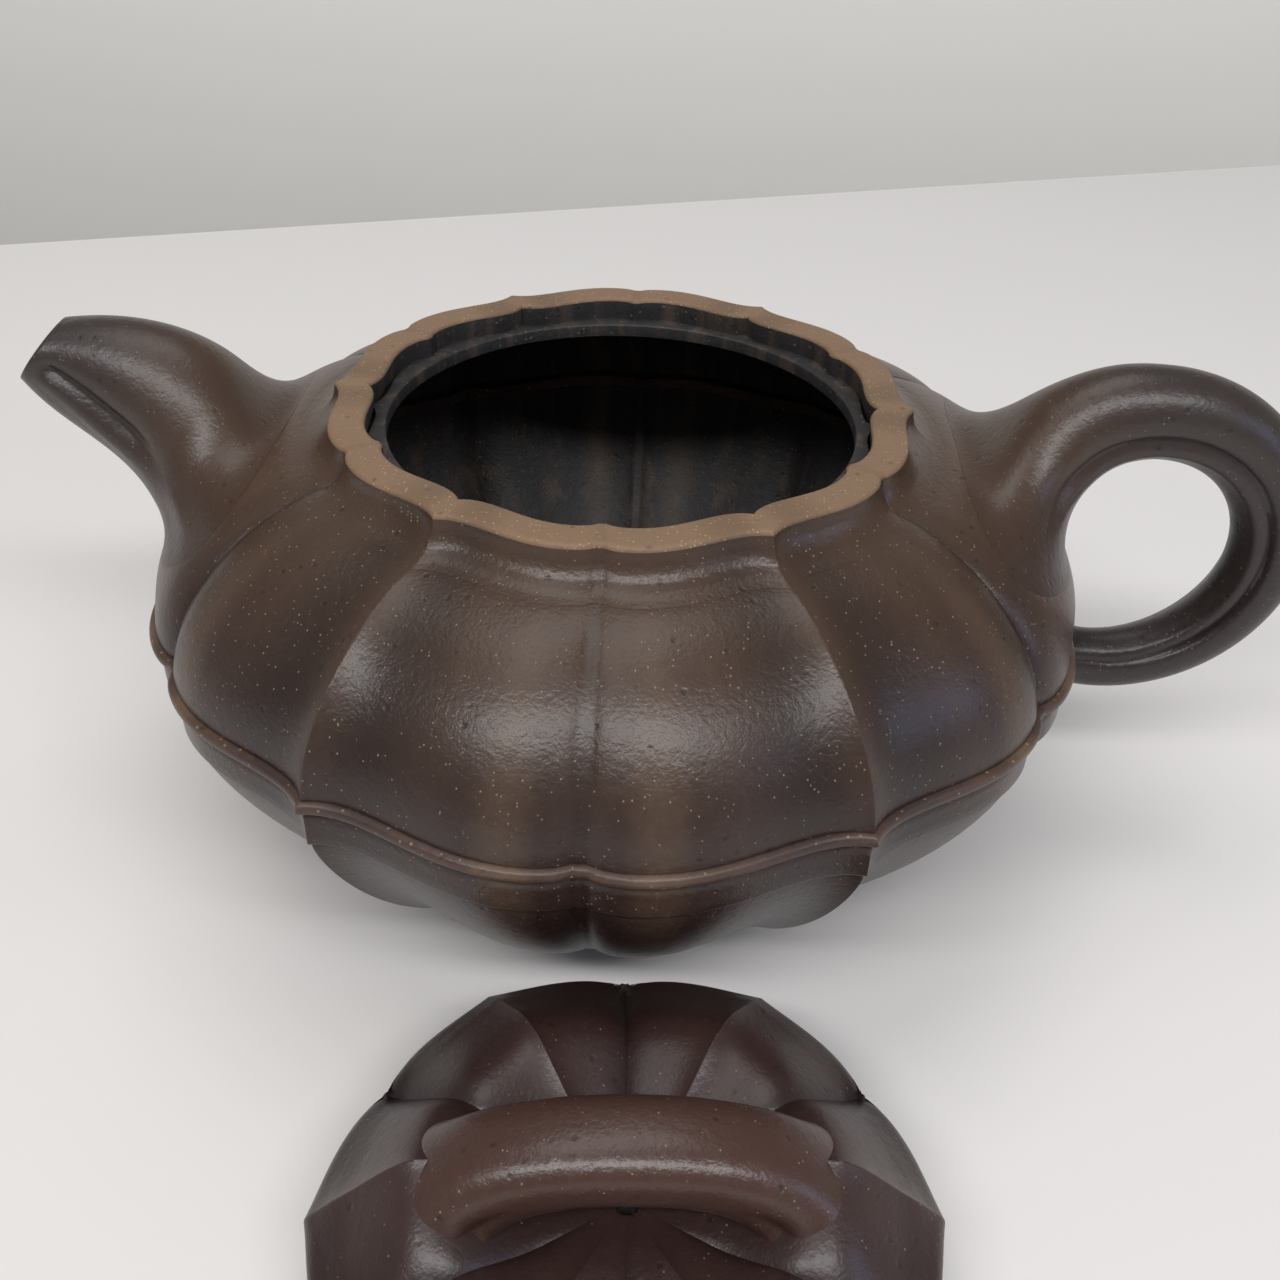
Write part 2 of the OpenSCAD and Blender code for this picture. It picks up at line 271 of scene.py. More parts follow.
def skin(rings: np.ndarray, tone: np.ndarray) -> bmesh.types.BMesh:
    """Covers a row of closed rings with one surface, closed at both ends.

    Args:
        rings: Places, as rings by points round by three.
        tone: Wear on raised edges and painted shade in grooves and creases, as rings by points round.

    Returns:
        The skin.
    """
    rows, cols = rings.shape[:2]
    bm = bmesh.new()
    bmesh.ops.create_grid(bm, x_segments=cols, y_segments=rows - 1, size=1)
    flat = coords(bm)
    i = np.rint((flat[:, 1] + 1) / 2 * (rows - 1)).astype(int)
    j = np.rint((flat[:, 0] + 1) / 2 * cols).astype(int) % cols
    put(bm, rings[i, j], tone[i, j])
    bmesh.ops.remove_doubles(bm, verts=bm.verts, dist=SAME_PLACE)
    bmesh.ops.holes_fill(bm, edges=[e for e in bm.edges if e.is_boundary], sides=0)
    return bm


def add_piece(
    name: str, bm: bmesh.types.BMesh, body: Body, material: bpy.types.Material,
    replaced: tuple[str, ...], place: Matrix | None = None,
) -> bpy.types.Object:
    """Turns a mesh in millimetres into a piece of the model in metres.

    Args:
        name: The piece's name.
        bm: Its mesh, which is used up.
        body: The body that it rides on.
        material: Its material.
        replaced: The frame's nodes that it stands for.
        place: Where its own axes lie in the frame, in millimetres.

    Returns:
        The piece.
    """
    if place is not None:
        bmesh.ops.transform(bm, matrix=place, verts=bm.verts)
    bmesh.ops.scale(bm, vec=(MM, MM, MM), verts=bm.verts)
    bmesh.ops.recalc_face_normals(bm, faces=bm.faces)
    for face in bm.faces:
        face.smooth = True
    for edge in bm.edges:
        edge.smooth = edge.calc_face_angle(0) < math.radians(SHARP_ANGLE)
    mesh = bpy.data.meshes.new(name)
    bm.to_mesh(mesh)
    bm.free()
    piece = bpy.data.objects.new(name, mesh)
    bpy.context.scene.collection.objects.link(piece)
    mesh.materials.append(material)
    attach(piece, body.value)
    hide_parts(*replaced)
    LOG.info("%s: %d faces, for %s", name, len(mesh.polygons), ", ".join(replaced))
    return piece


# ---------------------------------------------------------------- pot form


@dataclass(frozen=True)
class PotForm:
    """The pot's main sizes, in millimetres, and its outer face as a field."""

    body_r: float = 59
    top: float = 61
    waist_z: float = 37.6
    bead_z: float = 36.0
    band_z: float = 31.2
    neck_z: float = 56.3
    foot_z: float = 3
    floor_z: float = 6
    neck_r: float = 40.0
    shoulder_r: float = 38.1
    shoulder_z: float = 56.5
    bowl_r: float = 58.4
    bowl_foot_r: float = 36.6
    wall: float = 3
    inner_share: float = 0.8
    curve_size: float = 20
    bowl_lean: float = 0.85
    far: float = 20

    def bowl(self, z: np.ndarray) -> np.ndarray:
        """Radius of the bowl at a height."""
        drop = (self.band_z - np.asarray(z, float)) / (self.band_z - self.foot_z)
        return self.bowl_foot_r + (self.bowl_r - self.bowl_foot_r) * bulge(drop, BOWL_P)

    def shoulder_strength(self, z: np.ndarray) -> np.ndarray:
        """How strongly the petals show on the shoulder."""
        rise = np.clip((np.asarray(z, float) - self.waist_z) / (self.neck_z - self.waist_z), 0, 1)
        return 1 - 0.25 * rise**3

    def bowl_strength(self, z: np.ndarray) -> np.ndarray:
        """How strongly the petals show on the bowl."""
        rise = (np.asarray(z, float) - self.foot_z) / (self.band_z - self.foot_z)
        return 0.6 + 0.6 * np.sin(np.pi / 2 * np.clip(rise * 1.6, 0, 1))

    def wave(self, azimuth: np.ndarray, z: np.ndarray) -> np.ndarray:
        """The petals' relief, which the side petals lose above the bead."""
        fade = side_petal(azimuth) * smooth(z, self.waist_z + 0.2, self.waist_z + 3.6)
        return (1 - fade) * PETALS.wave(azimuth) + fade * PETALS.plain(azimuth)

    def depth(self, p: np.ndarray) -> np.ndarray:
        """Distance of points outside the pot's outer face, under 0 inside it.

        Args:
            p: Places, one row each.

        Returns:
            The distances, true close to the face and roughly right further off.
        """
        azimuth, z = azimuth_of(p), p[:, 2]
        radius = np.hypot(p[:, 0], p[:, 1])
        strength = np.where(z > self.band_z, self.shoulder_strength(z), self.bowl_strength(z))
        radius = radius - PETALS.relief * strength * self.wave(azimuth, z)
        across = np.maximum(radius - self.shoulder_r, 0) / (self.body_r - self.shoulder_r)
        up = np.maximum(z - self.waist_z, 0) / (self.shoulder_z - self.waist_z)
        round_top = self.curve_size * ((across**CORNER_P + up**CORNER_P) ** (1 / CORNER_P) - 1)
        under = (radius - self.bowl(z)) * self.bowl_lean
        return np.where(z > self.band_z, round_top, np.where(z > self.foot_z, under, self.far))


POT = PotForm()


def pot_normal(p: np.ndarray) -> np.ndarray:
    """Outward normals of the pot's plain outer form at points near it."""
    radius = np.hypot(p[:, 0], p[:, 1]) + 1e-9
    wide, high = POT.body_r - POT.shoulder_r, POT.shoulder_z - POT.waist_z
    across = np.clip((radius - POT.shoulder_r) / wide, 0.02, None)
    up = np.clip((p[:, 2] - POT.waist_z) / high, 0, None)
    out, rise = across ** (CORNER_P - 1) / wide, up ** (CORNER_P - 1) / high
    under = np.clip((POT.band_z - p[:, 2]) / (POT.band_z - POT.foot_z), 0, 1)
    rise = np.where(p[:, 2] < POT.band_z, -out * 0.9 * under**0.5, rise)
    normal = np.stack([out * p[:, 0] / radius, out * p[:, 1] / radius, rise], axis=1)
    return normal / np.linalg.norm(normal, axis=1, keepdims=True)


@dataclass(frozen=True)
class Patch:
    """The part of a petal that a spout's or handle's root covers, as a rounded outline on the pot's face."""

    azimuth: float
    half_azimuth: float
    low: float
    high: float
    on_shoulder: bool = True
    sink: float = 1.5
    sink_edge: float = 0.16

    def level(self, p: np.ndarray) -> np.ndarray:
        """How far up the face points lie: degrees of the shoulder's curve, or height on the bowl."""
        if not self.on_shoulder:
            return p[:, 2]
        up = np.clip((p[:, 2] - POT.waist_z) / (POT.shoulder_z - POT.waist_z), 0, 1)
        return np.degrees(np.arcsin(up ** (CORNER_P / 2)))

    def outline(self, b: np.ndarray, share: float = 1.0) -> np.ndarray:
        """Places on the outline.

        Args:
            b: Angles round the root from its upper side, in degrees.
            share: Size of the outline, 1 for the patch's own.

        Returns:
            The places, one row each.
        """
        side = -1.0 if self.azimuth > 180 else 1.0
        azimuth = self.azimuth + share * side * self.half_azimuth * np.sin(np.radians(b))
        level = (self.low + self.high) / 2 + share * (self.high - self.low) / 2 * np.cos(np.radians(b))
        if self.on_shoulder:
            turn = np.radians(level)
            radius = POT.shoulder_r + (POT.body_r - POT.shoulder_r) * np.cos(turn) ** (2 / CORNER_P)
            z = POT.waist_z + (POT.shoulder_z - POT.waist_z) * np.sin(turn) ** (2 / CORNER_P)
            strength = POT.shoulder_strength(z)
        else:
            z, radius, strength = level, POT.bowl(level), POT.bowl_strength(level)
        radius = radius + PETALS.relief * strength * POT.wave(azimuth, z)
        turn = np.radians(azimuth)
        return np.stack([radius * np.sin(turn), -radius * np.cos(turn), z], axis=1)

    def inward(self, b: np.ndarray) -> np.ndarray:
        """Unit directions along the face from the outline towards the root's middle."""
        nearly = 0.99
        way = self.outline(b, nearly) - self.outline(b)
        return way / np.linalg.norm(way, axis=1, keepdims=True)

    def sunk(self, p: np.ndarray) -> np.ndarray:
        """How far the pot's face is set back under the root, at points on it, in millimetres."""
        off = (np.mod(azimuth_of(p) - self.azimuth + 180, 360) - 180) / self.half_azimuth
        along = (self.level(p) - (self.low + self.high) / 2) / ((self.high - self.low) / 2)
        return self.sink * smooth(1 - np.hypot(off, along), 0.0, self.sink_edge)


def flare(
    edge: np.ndarray, edge_way: np.ndarray, ring: np.ndarray, ring_way: np.ndarray, rows: int,
) -> np.ndarray:
    """Rings of a soft flare that leaves the pot along its face and runs into a tube along the tube.

    Args:
        edge: Closed line on the pot, points by three.
        edge_way: Unit directions along the face, towards the tube.
        ring: The tube's ring, with the same number of points.
        ring_way: Unit directions along the tube, away from the pot.
        rows: Number of rings, the edge's own among them.

    Returns:
        The rings from the edge on, the tube's own left out.
    """
    tube_pull = 1.15
    s = np.linspace(0, 1, rows, endpoint=False)[:, None, None]
    far = np.linalg.norm(ring - edge, axis=1, keepdims=True)
    start = (2 * s**3 - 3 * s**2 + 1) * edge + (s**3 - 2 * s**2 + s) * edge_way * far
    return start + (3 * s**2 - 2 * s**3) * ring + (s**3 - s**2) * ring_way * far * tube_pull


def along_rings(rings: np.ndarray) -> np.ndarray:
    """Unit directions from the first ring towards the next, point by point."""
    way = rings[1] - rings[0]
    return way / np.linalg.norm(way, axis=1, keepdims=True)


def curve(points: tuple[tuple[float, float], ...], t: np.ndarray) -> np.ndarray:
    """Places, as x and z, on a smooth curve with four control points."""
    p, t = np.array(points), np.asarray(t, float)[:, None]
    return (1 - t) ** 3 * p[0] + 3 * (1 - t) ** 2 * t * p[1] + 3 * (1 - t) * t**2 * p[2] + t**3 * p[3]


@dataclass(frozen=True)
class Crease:
    """A crease with a soft roll beside it: depths as shares of the part's size, the rest in degrees round it."""

    depth: float
    soft: float
    roll: float
    roll_off: float
    roll_width: float

    def across(self, away: np.ndarray, width: np.ndarray | float) -> np.ndarray:
        """The depth at each distance from the crease's line: over 0 in the crease, under 0 on the roll."""
        crease = self.depth * np.exp(-np.sqrt(away**2 + self.soft**2) / width)
        return crease - self.roll * np.exp(-(((away - self.roll_off) / self.roll_width) ** 2))


@dataclass
class Spout:
    """The spout, drawn out of its petal, with the channel in its tip."""

    upper: tuple[tuple[float, float], ...] = ((-49.2, 62.4), (-54.4, 67.6), (-62.2, 68.6), (-69.1, 67.4))
    under: tuple[tuple[float, float], ...] = ((-61.2, 45.8), (-64.4, 51.9), (-72.0, 53.8), (-75.3, 59.8))
    root_width: float = 10.6
    tip_width: float = 4.9
    sides: int = 128
    rows: int = 70
    flare_rows: int = 30
    bore: float = 3.4
    rim: float = 0.45
    tip_tilt: float = 15.5
    fold: Crease = Crease(0.32, 4, 0.06, 16, 9)
    patch: Patch = Patch(270, 25.5, 14, 77)

    def crease(self, t: np.ndarray, b: np.ndarray) -> np.ndarray:
        """Depth of the crease along each side, as a share of the spout's size.

        Args:
            t: Share along the spout.
            b: Angle round it from the top, in degrees.

        Returns:
            The depth: over 0 in the crease, and under 0 on the soft roll beneath it.
        """
        away = np.abs(b) - (100 - 14 * smooth(t, 0.3, 0.95))
        along = smooth(t, -0.1, 0.35) * smooth(t, 0.97, 0.84)
        return along * self.fold.across(away, 7)

    def rings(self, b: np.ndarray) -> tuple[np.ndarray, np.ndarray]:
        """The outer rings from the neck to the tip.

        Args:
            b: Angles round the spout from its upper side, in degrees.

        Returns:
            Their places and the depth of the crease.
        """
        t = np.linspace(0, 1, self.rows)
        upper, under, turn = curve(self.upper, t), curve(self.under, t), np.radians(b)
        middle, up = (upper + under) / 2, (upper - under) / 2
        wide = self.tip_width + (self.root_width - self.tip_width) * (1 - t) ** 1.3
        dip = self.crease(t[:, None], b[None, :])
        height, side = np.cos(turn) * (1 - dip), np.sin(turn) * (1 - dip)
        flat = middle[:, None, :] + up[:, None, :] * height[..., None]
        return np.stack([flat[..., 0], wide[:, None] * side, flat[..., 1]], axis=2), dip

    def build(self) -> bmesh.types.BMesh:
        """The whole spout: the flare on the petal, the outer skin, the rim, and the channel behind it."""
        b = np.linspace(-180, 180, self.sides, endpoint=False)
        rings, dip = self.rings(b)
        edge = self.patch.outline(b)
        soft = flare(edge, self.patch.inward(b), rings[0], along_rings(rings), self.flare_rows)
        inward = -pot_normal(edge)
        root = [edge + inward * d for d in ROOT_DEPTHS]
        tip = rings[-1]
        centre = tip.mean(axis=0)
        spoke = tip - centre
        reach = np.linalg.norm(spoke, axis=1, keepdims=True)
        tilt = math.radians(self.tip_tilt)
        back = np.array([math.cos(tilt), 0, -math.sin(tilt)])
        steps = [(reach - self.rim * 0.35, -0.28), (reach - self.rim, -0.34), (self.bore + 0.4, -0.3),
                 (self.bore + 0.1, -0.1)] + [(self.bore, depth) for depth in (0.4, 4, 9, 15)]
        ends = [centre + spoke * wide / reach + back * depth for wide, depth in steps]
        worn = 0.7
        # The creases get painted shade by their depth; the rim's rings get wear.
        tone = np.concatenate([np.zeros((2 + self.flare_rows, self.sides)), CREASE_PAINTED_SHADE * dip,
                               np.full((2, self.sides), worn), np.zeros((len(ends) - 2, self.sides))])
        return skin(np.concatenate([root, soft, rings, ends]), tone)


@dataclass
class Handle:
    """The ear-shaped handle, drawn out of its petal and led back under the waist."""

    centre_x: float = 65.8
    centre_z: float = 43.4
    loop_r: float = 18.6
    neck_angle: float = 124
    tail_angle: float = -96
    neck_tuck: float = 1.0
    tail_at: tuple[float, float, float] = (60.4, 0, 25.1)
    tail_way: tuple[float, float, float] = (-0.05, 0, -1.0)
    tail_grip: tuple[float, float] = (4.2, 4.4)
    thin: float = 4
    swell: float = 1.8
    growth: float = 0.022
    width_share: float = 0.95
    neck_spread: float = 7
    spread_from: float = 105
    spread_over: float = 53
    carve: float = 8
    fold: Crease = Crease(0.19, 3, 0.045, 18, 11)
    sides: int = 96
    rows: int = 130
    tail_rows: int = 4
    flare_rows: int = 30
    foot_rows: int = 14
    patch: Patch = Patch(90, 25.5, 22, 77)
    foot_patch: Patch = Patch(90, 6.6, 19.6, 29.6, False)

    def middle(self, a: np.ndarray) -> np.ndarray:
        """Places of the loop's middle line."""
        turn, radius = np.radians(a), self.loop_r - self.neck_tuck * smooth(a, 100, 140)
        return np.stack([self.centre_x + radius * np.cos(turn), 0 * turn,
                         self.centre_z + radius * np.sin(turn)], axis=1)

    def grip(self, a: np.ndarray) -> tuple[np.ndarray, np.ndarray]:
        """Half thickness and half width at each angle of the loop."""
        under = self.thin + self.swell * (a - self.tail_angle) / (90 - self.tail_angle)
        thick = np.where(a > 90, self.thin + self.swell + (a - 90) * self.growth, under)
        spread = np.maximum(0, a - self.spread_from) / self.spread_over
        return thick, thick * self.width_share + self.neck_spread * spread**2

    def crease(self, a: np.ndarray, b: np.ndarray) -> np.ndarray:
        """Depth of the crease along each side, as a share of the handle's size.

        Args:
            a: Angle round the loop.
            b: Angle round the handle from its outer side, in degrees.

        Returns:
            The depth: over 0 in the crease, and under 0 on the roll inside it.
        """
        away = np.abs(b) - (106 + 8 * smooth(a, 60, -60))
        along = 1 - 0.7 * smooth(a, -40, -95)
        wide = 6 + 5 * smooth(a, 100, 124)
        return along * self.fold.across(away, wide)

    def rings(self, b: np.ndarray) -> tuple[np.ndarray, np.ndarray, np.ndarray]:
        """The rings from the neck to just outside the bowl.

        Args:
            b: Angles round the handle from its outer side, in degrees.

        Returns:
            Their places without the crease, the outward directions and the depth of the crease.
        """
        a = np.linspace(self.neck_angle, self.tail_angle, self.rows)
        line, turn = self.middle(a), np.radians(a)
        out = np.stack([np.cos(turn), 0 * turn, np.sin(turn)], axis=1)
        size = np.stack(self.grip(a), axis=1)
        share = np.linspace(0, 1, self.tail_rows + 1)[1:, None]
        line = np.concatenate([line, line[-1] + share * (np.array(self.tail_at) - line[-1])])
        out = np.concatenate([out, out[-1] + share * (np.array(self.tail_way) - out[-1])])
        size = np.concatenate([size, size[-1] + share * (np.array(self.tail_grip) - size[-1])])
        angle = np.concatenate([a, np.full(self.tail_rows, self.tail_angle)])
        turn = np.radians(b)
        offset = (size[:, 0, None] * np.cos(turn))[..., None] * out[:, None, :]
        offset = offset + (size[:, 1, None] * np.sin(turn))[..., None] * np.array([0, 1, 0])
        way = offset / np.linalg.norm(offset, axis=2, keepdims=True)
        return line[:, None, :] + offset, way, self.crease(angle[:, None], b[None, :])

    def build(self) -> bmesh.types.BMesh:
        """The whole handle, with its flare on the petal and its small foot on the bowl."""
        b = np.linspace(-180, 180, self.sides, endpoint=False)
        rings, way, dip = self.rings(b)
        edge = self.patch.outline(b)
        foot_edge, foot_in = self.foot_patch.outline(b + 180), self.foot_patch.inward(b + 180)
        foot_edge[:, 1] *= -1
        foot_in[:, 1] *= -1
        soft = flare(edge, self.patch.inward(b), rings[0], along_rings(rings), self.flare_rows)
        foot = flare(foot_edge, foot_in, rings[-1], along_rings(rings[::-1]), self.foot_rows)[::-1]
        fade = smooth(np.linspace(0, 1, self.flare_rows), 0.15, 1.0)[:, None]
        soft_dip = fade * dip[0][None, :]
        soft = soft - way[0][None] * (soft_dip * self.carve)[..., None]
        rings = rings - way * (dip * self.carve)[..., None]
        root = [edge - pot_normal(edge) * d for d in ROOT_DEPTHS]
        end = [foot_edge - pot_normal(foot_edge) * d for d in (0.6, 2.2)]
        calm = np.zeros((2, self.sides))
        # The creases get painted shade by their depth.
        tone = np.concatenate([
            calm, CREASE_PAINTED_SHADE * soft_dip, CREASE_PAINTED_SHADE * dip, np.zeros((self.foot_rows, self.sides)), calm])
        return skin(np.concatenate([root, soft, rings, foot, end]), tone)


# ---------------------------------------------------------------- pot pieces


@dataclass
class PotShells:
    """The pot's own walls: bowl, bead, shoulder, neck, seat and foot.

    A row of a profile holds the radius, the height and how strongly the petals show there.
    """

    bead_out: float = 0.85
    floor_r: float = 33
    relief: float = 0.6
    mouth_r: float = 31.5
    seat_r: float = 29.3
    seat_z: float = 58
    foot_r: float = 35
    foot_w: float = 4

    def shoulder_profile(self) -> np.ndarray:
        """The shoulder's closed loop."""
        turn = np.linspace(0, math.radians(86.2), 500)
        outer = np.stack([
            POT.shoulder_r + (POT.body_r - POT.shoulder_r) * np.cos(turn) ** (2 / CORNER_P),
            POT.waist_z + (POT.shoulder_z - POT.waist_z) * np.sin(turn) ** (2 / CORNER_P)], axis=1)
        outer = outer[outer[:, 1] < POT.neck_z - 0.15]
        outer = resample(np.concatenate([outer, [[POT.neck_r, POT.neck_z]]]), 84)
        outer = np.column_stack([outer, POT.shoulder_strength(outer[:, 1])])
        inner = outer[::-4] - [POT.wall, 0, 0]
        inner[:, 2] *= POT.inner_share
        return np.concatenate([outer, inner])

    def settle(self, bm: bmesh.types.BMesh, patches: tuple[Patch, ...]) -> None:
        """Sets a shell's outer face back a little under the parts that grow out of it.

        Args:
            bm: The shell.
            patches: Where those parts cover it.
        """
        p = coords(bm)
        index = np.flatnonzero(POT.depth(p) > -1.2)
        sunk = sum(patch.sunk(p[index]) for patch in patches)
        p[index] -= pot_normal(p[index]) * sunk[:, None]
        put(bm, p)

    def shoulder(self, spout: "Spout", handle: "Handle") -> bmesh.types.BMesh:
        """The shoulder, with its side petals ready for the spout and the handle."""
        bm = Lobed(self.shoulder_profile()).build(POT.wave)
        self.settle(bm, (spout.patch, handle.patch))
        return bm

    def bead(self) -> bmesh.types.BMesh:
        """The thin raised line round the waist."""
        turn = np.radians(np.linspace(-90, 90, 11))
        low, high = POT.bead_z, POT.waist_z
        mid, half = (low + high) / 2, (high - low) / 2
        outer = [
            (POT.body_r + 0.05 + self.bead_out * math.cos(a) ** 0.8, mid + half * math.sin(a), 1) for a in turn]
        inner = [(POT.body_r - POT.wall, z, POT.inner_share) for z in (high, low)]
        return Lobed(np.array(outer + inner)).build()

    def bowl(self, handle: "Handle") -> bmesh.types.BMesh:
        """The band under the bead and the bowl."""
        turn = np.linspace(0, math.pi / 2, 400)
        curve = np.stack([
            POT.bowl_foot_r + (POT.bowl_r - POT.bowl_foot_r) * np.sin(turn) ** (2 / BOWL_P),
            POT.band_z - (POT.band_z - POT.foot_z) * np.cos(turn) ** (2 / BOWL_P)], axis=1)
        bowl = resample(curve, 74)
        bowl = np.column_stack([bowl, POT.bowl_strength(bowl[:, 1])])
        bowl[-1] = (POT.bowl_r, POT.band_z - 0.05, 1.1)
        band = np.array([
            (POT.bowl_r + 0.05, POT.band_z + 0.05, 1.05), (POT.body_r - 0.12, POT.band_z + 0.12, 1),
            *((POT.body_r, POT.band_z + up, 1) for up in (0.35, 1.5, 3)),
            (POT.body_r, POT.bead_z - 0.2, 1), (POT.body_r - 0.3, POT.bead_z, 1)])
        inner = bowl[bowl[:, 1] > POT.floor_z + 1][::-3] - [POT.wall, 0, 0]
        inner[:, 2] *= POT.inner_share
        top = np.array([(POT.body_r - POT.wall, POT.bead_z, POT.inner_share)])
        floor = np.array([(self.floor_r, POT.floor_z, 0), (self.floor_r, POT.foot_z, 0)])
        bm = Lobed(np.concatenate([bowl, band, top, inner, floor])).build()
        self.settle(bm, (handle.foot_patch,))
        return bm

    def lip(self) -> bmesh.types.BMesh:
        """The short hollow neck and its flat, lobed lip."""
        neck = resample(np.array([
            [POT.neck_r, POT.neck_z, 0.7], [38.9, 56.55, 0.68], [38.0, 56.95, 0.66], [37.2, 57.5, 0.64],
            [36.6, 58.2, 0.62], [36.15, 59.0, 0.61], [35.95, 59.8, 0.6], [35.9, 60.4, 0.6]]), 22)
        top = np.array([(radius, z, self.relief) for radius, z in (
            (35.86, 60.62), (35.7, 60.84), (35.4, 60.97), (35.0, POT.top), (33.6, POT.top), (32.3, POT.top),
            (31.85, 60.95), (31.6, 60.78), (self.mouth_r, 60.5), (self.mouth_r, 58.6), (self.mouth_r, POT.neck_z))])

        def shape(azimuth: np.ndarray, z: np.ndarray) -> np.ndarray:
            """The shoulder's relief low on the neck, and the lip's above."""
            low = smooth(z, 59.6, 56.4)
            return low * POT.wave(azimuth, z) + (1 - low) * PETALS.wave(azimuth)

        return Lobed(np.concatenate([neck, top])).build(shape)

    def seat(self) -> bmesh.types.BMesh:
        """The ledge that carries the lid, round inside and lobed where it meets the neck."""
        edge = 0.25
        rows = [(self.mouth_r, POT.neck_z, self.relief), (self.mouth_r, self.seat_z, self.relief),
                (self.seat_r + edge, self.seat_z, 0), (self.seat_r + 0.07, self.seat_z - 0.07, 0),
                (self.seat_r, self.seat_z - edge, 0), (self.seat_r, POT.neck_z, 0)]
        return Lobed(np.array(rows)).build()

    def foot(self) -> bmesh.types.BMesh:
        """The low foot ring, with worn edges."""
        edge, inner = 0.5, self.foot_r - self.foot_w
        outer = [(self.foot_r, POT.foot_z), (self.foot_r, edge), (self.foot_r - 0.15, 0.15), (self.foot_r - edge, 0)]
        bore = [(inner + edge, 0, 0), (inner + 0.15, 0.15, 0), (inner, edge, 0), (inner, POT.foot_z, 0)]
        rows = [(radius, z, self.relief) for radius, z in outer] + bore
        return Lobed(np.array(rows)[::-1]).build()


